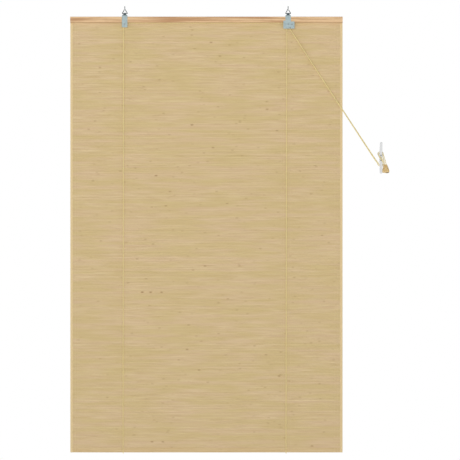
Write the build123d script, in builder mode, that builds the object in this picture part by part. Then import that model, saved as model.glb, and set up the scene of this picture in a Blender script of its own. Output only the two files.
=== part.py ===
from math import atan2, cos, pi, radians, sin, tan
import os

from build123d import *

os.makedirs("parts", exist_ok=True)

# Origin: midway between the two screw hooks, in the plane where their threads enter the ceiling.
# +X runs to the right along the blind, +Y away from the viewer and +Z up. Sizes are in millimetres.

# Blind
blind_width = 1000.0
blind_drop = 1600.0
rail_below_ceiling = 30.0
bracket_spacing = 600.0

# Head rail: two battens with the mat between them
rail_height = 22.0
batten_thickness = 10.0
batten_edge = 0.8

# Mat of split reeds
mat_thickness = 2.4
reed_pitch = 5.0
groove_width = 1.4
groove_depth = 0.5
slat_height = 17.0
slat_edge = 0.5
tape_width = 9.0
tape_thickness = 0.6
tape_fold_radius = 0.54
thread_width = 0.7
thread_thickness = 0.35
thread_places = [-481, -472, -314, -294.5, 275, 282.3, 310.2, 472, 481]
hole_play = 0.3

# Cords
cord_diameter = 2.5
cord_play = 0.3
cord_side_gap = 0.2
lift_bend = 4.0
lift_back_depth = 6.5
under_play = 0.1
arc_play = 0.05
free_bend_share = 0.45

# Hooks of bent wire
wire_diameter = 2.3
thread_length = 9.5
hook_corner_span = 20.0
hook_corner_radius = 2.2
hook_neck_radius = 2.5
hook_neck_drop = 1.5
hook_opening_drop = 6.0
hook_opening_side = 2.6

# Straps of folded sheet
sheet = 1.2
fold_radius = 1.0
strap_width = 20.0
strap_drop = 39.3
shoulder_height = 4.4
roof_apex_height = 13.8
eye_play = 0.15
eye_width = 9.0
eye_height = 9.0
roof_width = 16.5
roof_foot_rise = 1.0
strap_corner = 1.5

# Lock housing, measured from its own strap's middle
housing_left = 17.7
housing_right = 23.1
housing_left_top = 14.7
housing_right_top = 18.0
housing_drop = 44.0
hem_start = 6.5

# Pulleys
left_pulley_radius = 4.2
lock_pulley_radius = 4.6
level_cord_drop = 23.5
rail_play = 0.4
flange_thickness = 0.7
hub_radius = 2.3
hub_play = 0.3
bore_play = 0.05

# Axles and pins, riveted over at both ends
axle_radius = 1.4
pin_radius = 1.2
head_radius = 2.5
head_thickness = 0.9
head_edge = 0.5

# Lock cam
cam_reach_play = 0.35
cam_eccentricity = 3.0
cam_lobe_radius = 4.8
cam_hub_radius = 3.0
cam_pivot_drop = 29.2
cam_thickness = 6.8
cam_teeth = 7
cam_tooth_depth = 0.45
cam_tooth_angle = 14.0
cam_first_tooth = -35.0

# Guide pin at the lock's mouth
guide_radius = 1.3
guide_drop = 41.5
mouth_corner_drop = 0.85
mouth_run = 3.0

# Fasteners
staple_count = 9
staple_pitch = 112.5
staple_crown = 12.0
staple_wire = 0.9
staple_leg = 17.0
screw_drops = [6.0, 16.0]
screw_radius = 1.3
screw_length = 8.0
screw_head_radius = 2.7
screw_head_thickness = 1.3
screw_head_edge = 0.6

# Knots
knot_radius = 2.7
knot_length = 4.6
knot_edge = 1.1
anchor_drop = 34.5
left_anchor_side = 3.2
right_anchor_side = 5.0
left_foot_side = 6.2
right_foot_side = 7.7

# Cleat, moulded in one piece
cleat_x = 641.0
cleat_drop = 518.0
wall_depth = 16.3
cleat_length = 115.0
cleat_width = 10.0
horn_tip_width = 6.4
horn_front = 5.0
horn_thickness = 7.0
horn_tip_thickness = 4.6
horn_sweep = 2.0
neck_half_height = 13.0
foot_half_height = 16.0
foot_thickness = 3.0
cleat_hole_spacing = 18.0
cleat_hole_radius = 2.1
cleat_sink_radius = 3.4
cleat_side_round = 1.8
cleat_tip_round = 2.6

# Tassels of turned wood
tassel_length = 31.0
# its radii, each with its share of the length from the top
tassel_outline = [(3.4, 0.0), (4.8, 0.2), (7.05, 0.55), (8.2, 0.82), (6.9, 1.0)]
tassel_cup_radius = 4.6
tassel_cup_depth = 9.0

# Places worked out from the sizes above
rail_top = -rail_below_ceiling
rail_bottom = rail_top - rail_height
mat_bottom = rail_top - blind_drop
slat_top = mat_bottom + slat_height
bracket_x = bracket_spacing / 2
mat_half = mat_thickness / 2
rail_half_depth = mat_half + batten_thickness
strap_half_depth = rail_half_depth + sheet
cord_radius = cord_diameter / 2
groove_radius = cord_radius + cord_play
batten_middle = -(mat_half + batten_thickness / 2)
level_cord_z = rail_top - level_cord_drop
cord_lane = (cord_diameter + cord_side_gap) / 2
front_lane = batten_middle - cord_lane
back_lane = batten_middle + cord_lane
lock_x = bracket_x
left_axle_z = level_cord_z - left_pulley_radius
lock_axle_z = level_cord_z - lock_pulley_radius
lock_cord_x = lock_x + lock_pulley_radius
cam_reach = cam_eccentricity + cam_lobe_radius
cam_x = lock_cord_x + cord_radius + cam_reach_play + cam_reach
cam_z = rail_top - cam_pivot_drop
guide_x = lock_cord_x + cord_radius + cord_play + guide_radius
guide_z = rail_top - guide_drop
guide_bend = guide_radius + cord_play + cord_radius
eye_radius = wire_diameter / 2 + eye_play
left_anchor_x = -bracket_x - left_anchor_side
right_anchor_x = bracket_x - right_anchor_side
left_foot_x = -bracket_x - left_foot_side
right_foot_x = bracket_x - right_foot_side


def roof_slope():
    """The angle of the strap's sloping flanks, whose tangents meet at the roof's apex."""
    return atan2(roof_apex_height - shoulder_height, rail_half_depth)


bar_z = rail_top + roof_apex_height - eye_radius / cos(roof_slope())


# Head rail
def batten(side):
    """One batten, its face against the mat on the given side."""
    middle = side * (mat_half + batten_thickness / 2)
    with BuildPart() as piece:
        with BuildSketch(Plane.YZ):
            with Locations((middle, rail_top - rail_height / 2)):
                Rectangle(batten_thickness, rail_height)
        extrude(amount=blind_width / 2, both=True)
        outer = piece.edges().filter_by(Axis.X).group_by(Axis.Y)[-1 if side > 0 else 0]
        fillet(outer, batten_edge)
    return piece


head_rail_front = batten(-1)
head_rail_back = batten(1)


# Mat: one wall with a V on each face between neighbouring reeds
mat_height = rail_top - slat_top
reed_count = round(mat_height / reed_pitch)
reed_step = mat_height / reed_count
mat_length = blind_width - 2 * tape_thickness


def reed_face(side):
    """The corners down one face of the mat, three to a reed."""
    corners = []
    for reed in range(reed_count):
        top = rail_top - reed * reed_step
        corners += [
            (side * (mat_half - groove_depth), top),
            (side * mat_half, top - groove_width / 2),
            (side * mat_half, top - reed_step + groove_width / 2),
        ]
    return corners + [(side * (mat_half - groove_depth), slat_top)]


mat_holes = [
    (-bracket_x, left_axle_z, axle_radius),
    (lock_x, lock_axle_z, axle_radius),
    (cam_x, cam_z, pin_radius),
    (guide_x, guide_z, guide_radius),
]
with BuildPart() as reed_mat:
    with BuildSketch(Plane.YZ):
        with BuildLine():
            Polyline(*reed_face(-1), *reversed(reed_face(1)), close=True)
        make_face()
    extrude(amount=mat_length / 2, both=True)
    for hole_x, hole_z, pin in mat_holes:
        with Locations(Location((hole_x, 0, hole_z), (90, 0, 0))):
            Hole(pin + hole_play)

with BuildPart() as bottom_slat:
    with BuildSketch(Plane.YZ):
        with Locations((0, mat_bottom + slat_height / 2)):
            Rectangle(mat_thickness, slat_height)
    extrude(amount=mat_length / 2, both=True)
    fillet(bottom_slat.edges().filter_by(Axis.X).group_by(Axis.Z)[0], slat_edge)


# Edge tapes, folded round the mat's sides
def edge_tape(side):
    """A U of tape from the head rail to the blind's lower edge."""
    edge = side * blind_width / 2
    with BuildPart() as piece:
        with BuildSketch(Plane.XY.offset(mat_bottom)) as section:
            with Locations((edge - side * tape_width / 2, 0)):
                Rectangle(tape_width, mat_thickness + 2 * tape_thickness)
            with Locations((edge - side * (tape_width + tape_thickness) / 2, 0)):
                Rectangle(tape_width - tape_thickness, mat_thickness, mode=Mode.SUBTRACT)
            outer = section.vertices().group_by(Axis.X)[-1 if side > 0 else 0]
            fillet(outer, tape_fold_radius)
        extrude(amount=rail_bottom - mat_bottom)
    return piece


edge_tape_left = edge_tape(-1)
edge_tape_right = edge_tape(1)

# Warp threads, a pair of runs at each place, on the mat's two faces
thread_height = rail_bottom - mat_bottom
with BuildPart() as warp_threads:
    for side in (-1, 1):
        depth = side * (mat_half + thread_thickness / 2)
        with Locations(*[(place, depth, mat_bottom + thread_height / 2) for place in thread_places]):
            Box(thread_width, thread_thickness, thread_height)

# Staples through back batten, mat and front batten
with BuildPart() as rail_staples:
    for number in range(staple_count):
        middle = (number - (staple_count - 1) / 2) * staple_pitch
        with Locations((middle, rail_half_depth + staple_wire / 2, rail_top - rail_height / 2)):
            Box(staple_crown, staple_wire, staple_wire)
        leg_places = [
            (
                middle + side * (staple_crown - staple_wire) / 2,
                rail_half_depth - staple_leg / 2,
                rail_top - rail_height / 2,
            )
            for side in (-1, 1)
        ]
        with Locations(*leg_places):
            Box(staple_wire, staple_leg, staple_wire)


# Hooks
def screw_hook(middle, leg):
    """A threaded shank that bends into one leg, the bar and an open second leg."""
    bar_half = hook_corner_span / 2
    points = [
        (middle, 0, thread_length),
        (middle, 0, -hook_neck_drop),
        (middle + leg * bar_half, 0, bar_z),
        (middle - leg * bar_half, 0, bar_z),
        (middle - leg * hook_opening_side, 0, -hook_opening_drop),
    ]
    with BuildPart() as piece:
        with BuildLine() as wire:
            FilletPolyline(*points, radius=[hook_neck_radius, hook_corner_radius, hook_corner_radius])
        with BuildSketch(Plane(wire.line @ 0, z_dir=wire.line % 0)):
            Circle(wire_diameter / 2)
        sweep()
    return piece


hook_left = screw_hook(-bracket_x, 1)
hook_right = screw_hook(bracket_x, -1)


# Straps
def roof_outline(half_width):
    """Half of a strap's upper front outline, from its eye down to its shoulder."""
    return [
        (eye_width / 2, roof_apex_height + 2 * sheet),
        (eye_width / 2, eye_height),
        (roof_width / 2, shoulder_height + roof_foot_rise),
        (half_width, shoulder_height),
    ]


def strap_band(middle, drop):
    """The sheet's edge, folded over the head rail, with its eye curled round the hook's bar."""
    leg_end = rail_top - drop
    shoulder = rail_top + shoulder_height
    with BuildSketch(Plane.YZ.offset(middle)) as band:
        with BuildLine():
            FilletPolyline(
                (-rail_half_depth, leg_end),
                (-rail_half_depth, shoulder),
                (0, rail_top + roof_apex_height),
                (rail_half_depth, shoulder),
                (rail_half_depth, leg_end),
                radius=[fold_radius, eye_radius, fold_radius],
            )
            offset(amount=sheet, side=Side.LEFT)
        make_face()
    return band.sketch


def front_outline(middle, corners, rounded):
    """A strap's outline seen from the front, from corners given as (x, height over the rail's top)."""
    with BuildSketch(Plane.XZ) as outline:
        with BuildLine():
            Polyline(*[(middle + x, rail_top + z) for x, z in corners], close=True)
        make_face()
        foot = outline.vertices().group_by(Axis.Y)[0]
        fillet(foot, rounded)
    return outline.sketch


def back_holes(middle, anchor_x):
    """The holes in a strap's back leg alone, for its screws and for the lift cord's end."""
    with BuildSketch(Plane.XZ.offset(-rail_half_depth)) as holes:
        with Locations(*[(middle, rail_top - drop) for drop in screw_drops]):
            Circle(screw_radius + hole_play)
        with Locations((anchor_x, rail_top - anchor_drop)):
            Circle(cord_radius + cord_play)
    return holes.sketch


def cross_hole(x, z, radius):
    """A hole along Y through everything in the part."""
    with Locations(Location((x, 0, z), (90, 0, 0))):
        Hole(radius)


roof = roof_outline(strap_width / 2)
right_half = roof + [(strap_width / 2, -strap_drop)]
left_half = [(-x, z) for x, z in reversed(right_half)]
with BuildPart() as strap_left:
    extrude(strap_band(-bracket_x, strap_drop), amount=strap_width / 2, both=True)
    outline = front_outline(-bracket_x, right_half + left_half, strap_corner)
    extrude(outline, amount=2 * strap_half_depth, both=True, mode=Mode.INTERSECT)
    cross_hole(-bracket_x, left_axle_z, axle_radius + bore_play)
    extrude(back_holes(-bracket_x, left_anchor_x), amount=-2 * sheet, mode=Mode.SUBTRACT)

right_side = roof + [
    (strap_width / 2, -housing_right_top),
    (housing_right, -housing_right_top),
    (housing_right, -housing_drop),
]
left_side = [
    (-housing_left, -housing_drop),
    (-housing_left, -housing_left_top),
    (-strap_width / 2, -housing_left_top),
] + [(-x, z) for x, z in reversed(roof)]
hem_width = housing_right - hem_start
hem_height = housing_drop - housing_right_top
hem_middle_z = rail_top - (housing_right_top + housing_drop) / 2
with BuildPart() as lock_housing:
    extrude(strap_band(bracket_x, housing_drop), amount=housing_right, both=True)
    outline = front_outline(bracket_x, right_side + left_side, strap_corner)
    extrude(outline, amount=2 * strap_half_depth, both=True, mode=Mode.INTERSECT)
    with Locations((bracket_x + hem_start + hem_width / 2, -strap_half_depth - sheet / 2, hem_middle_z)):
        Box(hem_width, sheet, hem_height)
    cross_hole(lock_x, lock_axle_z, axle_radius + bore_play)
    cross_hole(cam_x, cam_z, pin_radius + bore_play)
    cross_hole(guide_x, guide_z, guide_radius + bore_play)
    extrude(back_holes(bracket_x, right_anchor_x), amount=-2 * sheet, mode=Mode.SUBTRACT)

# Screws that hold the straps' back legs on the back batten
with BuildPart() as bracket_screws:
    for middle in (-bracket_x, bracket_x):
        for drop in screw_drops:
            with BuildSketch(Plane.XZ.offset(-strap_half_depth)):
                with Locations((middle, rail_top - drop)):
                    Circle(screw_radius)
            extrude(amount=screw_length)
            with BuildSketch(Plane.XZ.offset(-strap_half_depth)):
                with Locations((middle, rail_top - drop)):
                    Circle(screw_head_radius)
            extrude(amount=-screw_head_thickness)
    heads = bracket_screws.faces().sort_by(Axis.Y)[-4:]
    fillet(heads.edges(), screw_head_edge)


# Pulleys
def pulley(x, z, radius, lanes):
    """A grooved wheel whose cord runs at the given radius, with a hub that keeps it in the middle."""
    half_width = max(abs(lane) for lane in lanes) + groove_radius + flange_thickness
    hub_half = batten_thickness / 2 - hub_play
    bore = axle_radius + bore_play
    rim = radius + cord_radius - rail_play + bore_play
    with BuildPart() as piece:
        with BuildSketch(Plane((x, batten_middle, z))):
            with Locations(((bore + rim) / 2, 0)):
                Rectangle(rim - bore, 2 * half_width)
            for lane in lanes:
                with Locations((radius, lane)):
                    Circle(groove_radius, mode=Mode.SUBTRACT)
                with Locations((radius + groove_radius / 2, lane)):
                    Rectangle(groove_radius, 2 * groove_radius, mode=Mode.SUBTRACT)
            with Locations(((bore + hub_radius) / 2, 0)):
                Rectangle(hub_radius - bore, 2 * hub_half)
        revolve(axis=Axis((x, batten_middle, z), (0, 1, 0)))
    return piece


pulley_left = pulley(-bracket_x, left_axle_z, left_pulley_radius, [0])
pulley_lock = pulley(lock_x, lock_axle_z, lock_pulley_radius, [-cord_lane, cord_lane])


# Axles and pins
def rivet(x, z, radius, front):
    """A pin from the front sheet to the back leg, with a low head at each end."""
    with BuildPart() as piece:
        with BuildSketch(Plane((x, front, z), x_dir=(1, 0, 0), z_dir=(0, 1, 0))):
            Circle(radius)
        extrude(amount=strap_half_depth - front)
        for face_y, way in ((front, -1), (strap_half_depth, 1)):
            with BuildSketch(Plane((x, face_y, z), x_dir=(1, 0, 0), z_dir=(0, way, 0))):
                Circle(head_radius)
            extrude(amount=head_thickness)
        ends = piece.faces().sort_by(Axis.Y)
        fillet((ends[0] + ends[-1]).edges(), head_edge)
    return piece


hem_front = -strap_half_depth - sheet
axle_left = rivet(-bracket_x, left_axle_z, axle_radius, -strap_half_depth)
axle_lock = rivet(lock_x, lock_axle_z, axle_radius, -strap_half_depth)
cam_pin = rivet(cam_x, cam_z, pin_radius, hem_front)
guide_pin = rivet(guide_x, guide_z, guide_radius, hem_front)

# Lock cam: an eccentric lobe with teeth where it grips, which falls shut by its own weight
cam_plane = Plane((cam_x, batten_middle - cam_thickness / 2, cam_z), x_dir=(-1, 0, 0), z_dir=(0, 1, 0))
with BuildPart() as lock_cam:
    with BuildSketch(cam_plane):
        with Locations((cam_eccentricity, 0)):
            Circle(cam_lobe_radius)
        Circle(cam_hub_radius)
        for tooth in range(cam_teeth):
            angle = cam_first_tooth + tooth * cam_tooth_angle
            valley_x = cam_eccentricity + cam_lobe_radius * cos(radians(angle))
            valley_y = cam_lobe_radius * sin(radians(angle))
            with Locations(Location((valley_x, valley_y, 0), angle)):
                Rectangle(2 * cam_tooth_depth, cam_tooth_depth, rotation=45, mode=Mode.SUBTRACT)
        Circle(pin_radius + bore_play, mode=Mode.SUBTRACT)
    extrude(amount=cam_thickness)


# Cords
def bend_radii(points, held):
    """One radius for each corner of a route: the thing it goes round, or as large as its runs allow."""
    radii = []
    for index in range(1, len(points) - 1):
        before = Vector(points[index]) - Vector(points[index - 1])
        after = Vector(points[index + 1]) - Vector(points[index])
        turn = radians(before.get_angle(after))
        free = free_bend_share * min(before.length, after.length) / tan(turn / 2)
        radii.append(held.get(index, free))
    return radii


def cord(name, points, held):
    """A tube along straight runs and tangent arcs."""
    radii = bend_radii(points, held)
    with BuildPart() as piece:
        with BuildLine() as route:
            FilletPolyline(*points, radius=radii)
        with BuildSketch(Plane(route.line @ 0, z_dir=route.line % 0)):
            Circle(cord_radius)
        sweep()
    length = sum(edge.length for edge in route.edges())
    share = piece.part.volume / (length * pi * cord_radius**2)
    print(name, f"length {length:.1f} mm, volume over section times length {share:.4f}")
    print("  radii", [round(radius, 1) for radius in radii])
    return piece


under_bend = mat_half + cord_radius + under_play
under_z = mat_bottom - under_bend
anchor_y = strap_half_depth
anchor_z = rail_top - anchor_drop
front_left_x = -bracket_x - left_pulley_radius

cleat_middle = (cleat_x, 0, rail_top - cleat_drop)


def at_cleat(points):
    """Points given from the cleat's middle, in the part's frame."""
    return [tuple(a + b for a, b in zip(cleat_middle, point)) for point in points]


# The pull cords from the lock: round the lower horn, over the front, round the upper horn, to a tassel
pull_left_wind = at_cleat([
    (-11.9, -3.8, -19.8), (-9.6, 5.6, -27.6), (-1.5, 9.8, -32), (7.8, 7.4, -30.4), (12.2, -0.6, -23.2),
    (9.9, -9.2, -14.2), (2.2, -12.8, -5.2), (-7.2, -10.8, 3.6), (-12, -3.2, 12.4), (-9, 5.4, 20.2),
    (-0.8, 9.2, 24), (7.8, 6.2, 21.8), (12.2, 0.2, 12), (15.4, -3.5, 0), (18.2, -5.8, -13),
    (20.5, -6.8, -25.5), (26, -8, -48),
])
pull_right_wind = at_cleat([
    (-9.2, -2.2, -17.6), (-7.4, 3.6, -24.2), (-0.8, 6.8, -28), (6, 4.6, -26.6), (9.4, -1.2, -20.2),
    (7.6, -7.2, -11.8), (1.4, -9.9, -4), (-5.4, -8.2, 3.2), (-9.2, -2.6, 10.2), (-7.2, 3.6, 16.8),
    (-0.6, 6.6, 20), (5.8, 3.8, 17.6), (8.6, 1.2, 8), (11, 2.6, -3), (13.6, 4.4, -15),
    (15, 5.4, -27.5), (16, 6, -50),
])


def mouth(lane, first):
    """The corner at the guide pin and the place where a cord leaves the housing towards the cleat."""
    corner = Vector(lock_cord_x, lane, guide_z - mouth_corner_drop)
    way = (Vector(first) - corner).normalized()
    return corner, corner + way * mouth_run


left_corner, left_mouth = mouth(front_lane, pull_left_wind[0])
right_corner, right_mouth = mouth(back_lane, pull_right_wind[0])

lift_cord_left = cord(
    "lift_cord_left",
    [
        (left_anchor_x, anchor_y, anchor_z),
        (left_anchor_x, lift_back_depth, anchor_z),
        (left_foot_x, under_bend, under_z),
        (left_foot_x, -under_bend, under_z),
        (front_left_x, batten_middle, level_cord_z),
        (lock_cord_x, front_lane, level_cord_z),
        left_corner,
        left_mouth,
    ],
    {
        1: lift_bend,
        2: under_bend - arc_play,
        3: under_bend - arc_play,
        4: left_pulley_radius,
        5: lock_pulley_radius,
        6: guide_bend,
    },
)
lift_cord_right = cord(
    "lift_cord_right",
    [
        (right_anchor_x, anchor_y, anchor_z),
        (right_anchor_x, lift_back_depth, anchor_z),
        (right_foot_x, under_bend, under_z),
        (right_foot_x, -under_bend, under_z),
        (lock_x - lock_pulley_radius, back_lane, level_cord_z),
        (lock_cord_x, back_lane, level_cord_z),
        right_corner,
        right_mouth,
    ],
    {
        1: lift_bend,
        2: under_bend - arc_play,
        3: under_bend - arc_play,
        4: lock_pulley_radius - arc_play,
        5: lock_pulley_radius - arc_play,
        6: guide_bend,
    },
)
pull_cord_left = cord("pull_cord_left", [left_mouth, *pull_left_wind], {})
pull_cord_right = cord("pull_cord_right", [right_mouth, *pull_right_wind], {})


# Knots: the lump of a tight overhand knot, its flat end where the cord enters
def knot(place, way):
    """A rounded barrel that starts at a place and grows along a direction."""
    with BuildPart() as piece:
        with BuildSketch(Plane(place, z_dir=way)):
            Circle(knot_radius)
        extrude(amount=knot_length)
        fillet(piece.edges(), knot_edge)
    return piece


knot_left = knot((left_anchor_x, anchor_y, anchor_z), (0, 1, 0))
knot_right = knot((right_anchor_x, anchor_y, anchor_z), (0, 1, 0))
left_tail_way = Vector(pull_left_wind[-1]) - Vector(pull_left_wind[-2])
right_tail_way = Vector(pull_right_wind[-1]) - Vector(pull_right_wind[-2])
tassel_knot_left = knot(pull_right_wind[-1], right_tail_way)
tassel_knot_right = knot(pull_left_wind[-1], left_tail_way)


# Cleat
def horn_side(way):
    """Half of the cleat's side outline, from the wall to the middle of its front."""
    tip = way * cleat_length / 2
    return [
        (wall_depth, way * foot_half_height),
        (wall_depth - foot_thickness, way * foot_half_height),
        (wall_depth - 2 * foot_thickness, way * neck_half_height),
        (horn_thickness - horn_front, way * neck_half_height),
        (horn_tip_thickness - horn_front - horn_sweep, tip),
        (-horn_front - horn_sweep, tip),
        (-horn_front, way * foot_half_height),
    ]


def horn_front_outline(way):
    """Half of the cleat's front outline, widest over its neck."""
    return [
        (cleat_width / 2, way * foot_half_height),
        (horn_tip_width / 2, way * cleat_length / 2),
    ]


cleat_z = rail_top - cleat_drop
with BuildPart() as cleat:
    with BuildSketch(Plane.YZ.offset(cleat_x)):
        with BuildLine():
            side_corners = horn_side(1) + list(reversed(horn_side(-1)))
            Polyline(*[(y, cleat_z + z) for y, z in side_corners], close=True)
        make_face()
        fillet(vertices().group_by(Axis.Y)[0] + vertices().group_by(Axis.Y)[-1], cleat_side_round)
    extrude(amount=cleat_width, both=True)
    with BuildSketch(Plane.XZ):
        with BuildLine():
            upper = horn_front_outline(1)
            lower = horn_front_outline(-1)
            right_edge = list(reversed(upper)) + lower
            left_edge = [(-x, z) for x, z in reversed(right_edge)]
            Polyline(*[(cleat_x + x, cleat_z + z) for x, z in right_edge + left_edge], close=True)
        make_face()
        fillet(vertices().group_by(Axis.Y)[0] + vertices().group_by(Axis.Y)[-1], cleat_tip_round)
    extrude(amount=2 * wall_depth, both=True, mode=Mode.INTERSECT)
    for way in (-1, 1):
        hole_z = cleat_z + way * cleat_hole_spacing / 2
        with Locations(Location((cleat_x, -horn_front, hole_z), (90, 0, 0))):
            CounterSinkHole(cleat_hole_radius, cleat_sink_radius)


# Tassels
def tassel(top, way):
    """A bell turned on the cord's own line, bored for it and cupped below for its knot."""
    bore = cord_radius + cord_play
    across = Vector(0, 1, 0).cross(way).normalized()
    cup_floor = tassel_length - tassel_cup_depth
    outside = [(radius, share * tassel_length) for radius, share in tassel_outline]
    with BuildPart() as piece:
        with BuildSketch(Plane(top, x_dir=across, z_dir=across.cross(way))):
            with BuildLine():
                Spline(*outside)
                Polyline(
                    outside[-1],
                    (tassel_cup_radius, tassel_length),
                    (tassel_cup_radius, cup_floor),
                    (bore, cup_floor),
                    (bore, 0),
                    outside[0],
                )
            make_face()
        revolve(axis=Axis(top, way))
    return piece


tassel_left = tassel(Vector(pull_right_wind[-2]), right_tail_way)
tassel_right = tassel(Vector(pull_left_wind[-2]), left_tail_way)

pieces = {
    "head_rail_front": head_rail_front,
    "head_rail_back": head_rail_back,
    "reed_mat": reed_mat,
    "bottom_slat": bottom_slat,
    "edge_tape_left": edge_tape_left,
    "edge_tape_right": edge_tape_right,
    "warp_threads": warp_threads,
    "rail_staples": rail_staples,
    "hook_left": hook_left,
    "hook_right": hook_right,
    "strap_left": strap_left,
    "lock_housing": lock_housing,
    "bracket_screws": bracket_screws,
    "pulley_left": pulley_left,
    "pulley_lock": pulley_lock,
    "axle_left": axle_left,
    "axle_lock": axle_lock,
    "cam_pin": cam_pin,
    "guide_pin": guide_pin,
    "lock_cam": lock_cam,
    "lift_cord_left": lift_cord_left,
    "lift_cord_right": lift_cord_right,
    "pull_cord_left": pull_cord_left,
    "pull_cord_right": pull_cord_right,
    "knot_left": knot_left,
    "knot_right": knot_right,
    "tassel_knot_left": tassel_knot_left,
    "tassel_knot_right": tassel_knot_right,
    "cleat": cleat,
    "tassel_left": tassel_left,
    "tassel_right": tassel_right,
}
for name, piece in pieces.items():
    piece.part.label = name
    export_step(piece.part, f"parts/{name}.step")
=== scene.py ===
import math
import random

import bpy
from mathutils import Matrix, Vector


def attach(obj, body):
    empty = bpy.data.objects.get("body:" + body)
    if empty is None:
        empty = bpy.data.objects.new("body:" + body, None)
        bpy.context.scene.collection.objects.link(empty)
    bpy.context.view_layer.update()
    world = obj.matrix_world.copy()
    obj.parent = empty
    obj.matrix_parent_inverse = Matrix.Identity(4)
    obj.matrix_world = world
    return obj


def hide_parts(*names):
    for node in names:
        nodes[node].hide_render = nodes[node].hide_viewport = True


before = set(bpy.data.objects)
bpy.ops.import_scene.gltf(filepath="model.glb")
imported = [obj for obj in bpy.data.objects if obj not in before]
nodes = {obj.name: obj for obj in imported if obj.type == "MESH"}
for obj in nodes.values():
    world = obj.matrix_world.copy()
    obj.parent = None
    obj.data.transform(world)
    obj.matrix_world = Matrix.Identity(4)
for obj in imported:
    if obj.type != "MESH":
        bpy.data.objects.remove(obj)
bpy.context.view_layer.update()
mm = 0.001
fullTurn = 2 * math.pi
print("frame loaded")

# The picture: a long lens square on to the blind, plain white all round, soft light from the front
picture = {
    "width": 1.690,  # metres of the blind's plane across the frame
    "aim": (0.0865, 0, -0.813),
    "distance": 9.0,
    "farthest": 100,
    "sensor": 36.0,
    "walls": "#ffffff",
    "ceiling": "#787c80",
    "ceilingFrom": 0.12,  # height of the direction where the ceiling's grey begins, and where it is full
    "ceilingTo": 0.6,
    "floorHeight": -2.6,
    "floorSize": 9.0,
    "floorColour": "#f4f4f2",
    "floorRoughness": 0.9,
    "floorGlow": 0.2,  # makes up for the dark ceiling, so that the floor stays pale
    "keyPlace": (-0.7, -7.4, -0.6),
    "keySize": 3.2,
    "keyPower": 195,
    "fillPlace": (0.9, 6.4, -0.2),
    "fillSize": 3.0,
    "fillPower": 130,
}


def linear(hexColour):  # an sRGB hex colour as the linear RGBA that sockets take
    shares = [int(hexColour[i : i + 2], 16) / 255 for i in (1, 3, 5)]
    return (*[s / 12.92 if s <= 0.04045 else ((s + 0.055) / 1.055) ** 2.4 for s in shares], 1)


def addNode(tree, kind, inputs, **settings):  # a node with its settings and its values or links
    node = tree.nodes.new(kind)
    for name, value in settings.items():
        setattr(node, name, value)
    for socket, value in inputs.items():
        if isinstance(value, bpy.types.NodeSocket):
            tree.links.new(value, node.inputs[socket])
        else:
            node.inputs[socket].default_value = value
    return node


def newMaterial(name):
    material = bpy.data.materials.new(name)
    material.use_nodes = True
    material.node_tree.nodes.clear()
    return material, material.node_tree


def finishMaterial(tree, inputs):
    shader = addNode(tree, "ShaderNodeBsdfPrincipled", inputs)
    addNode(tree, "ShaderNodeOutputMaterial", {"Surface": shader.outputs[0]})


def blend(tree, share, first, second):  # two colours, each in hex or from a node, mixed by a share
    colours = [linear(colour) if isinstance(colour, str) else colour for colour in (first, second)]
    inputs = {0: share, 6: colours[0], 7: colours[1]}
    return addNode(tree, "ShaderNodeMix", inputs, data_type="RGBA").outputs[2]


def stretched(tree, value, begin=0.0, end=1.0, low=0.0, high=1.0):  # begin becomes low and end becomes high
    inputs = {"Value": value, "From Min": begin, "From Max": end, "To Min": low, "To Max": high}
    return addNode(tree, "ShaderNodeMapRange", inputs).outputs[0]


def calculated(tree, operation, *values):
    return addNode(tree, "ShaderNodeMath", dict(enumerate(values)), operation=operation).outputs[0]


def placeOn(tree, kind="Object"):
    return addNode(tree, "ShaderNodeTexCoord", {}).outputs[kind]


def moved(tree, place, shift):
    return addNode(tree, "ShaderNodeVectorMath", {0: place, 1: shift}, operation="ADD").outputs[0]


def scaled(tree, place, feature):  # a place on which one feature of a pattern gets these millimetres
    scale = [1000 / size for size in feature]
    return addNode(tree, "ShaderNodeMapping", {"Vector": place, "Scale": scale}).outputs[0]


def noise(tree, place, detail, scale=1.0):
    inputs = {"Vector": place, "Scale": scale, "Detail": detail}
    return addNode(tree, "ShaderNodeTexNoise", inputs).outputs["Fac"]


def ownValue(tree, name):  # a value that the mesh holds for each of its points
    return addNode(tree, "ShaderNodeAttribute", {}, attribute_name=name).outputs["Fac"]


def heightOf(tree, vector):
    return addNode(tree, "ShaderNodeSeparateXYZ", {"Vector": vector}).outputs["Z"]


def bumps(tree, height, strength, depth):
    inputs = {"Height": height, "Strength": strength, "Distance": depth}
    return addNode(tree, "ShaderNodeBump", inputs).outputs[0]


scene = bpy.context.scene
scene.view_settings.view_transform = "Standard"
scene.view_settings.look = "None"

lens = bpy.data.cameras.new("longLens")
lens.sensor_width = picture["sensor"]
lens.lens = picture["sensor"] * picture["distance"] / picture["width"]
lens.clip_end = picture["farthest"]
camera = bpy.data.objects.new("camera", lens)
aim = Vector(picture["aim"])
camera.location = aim - Vector((0, picture["distance"], 0))
camera.rotation_euler = (math.pi / 2, 0, 0)
scene.collection.objects.link(camera)
scene.camera = camera

# White walls all round and a greyer ceiling, so that little light comes straight down
world = bpy.data.worlds.new("studio")
world.use_nodes = True
room = world.node_tree
room.nodes.clear()
rise = heightOf(room, placeOn(room, "Generated"))
overhead = stretched(room, rise, picture["ceilingFrom"], picture["ceilingTo"])
walls = blend(room, overhead, picture["walls"], picture["ceiling"])
surround = addNode(room, "ShaderNodeBackground", {"Color": walls})
addNode(room, "ShaderNodeOutputWorld", {"Surface": surround.outputs[0]})
scene.world = world

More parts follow.
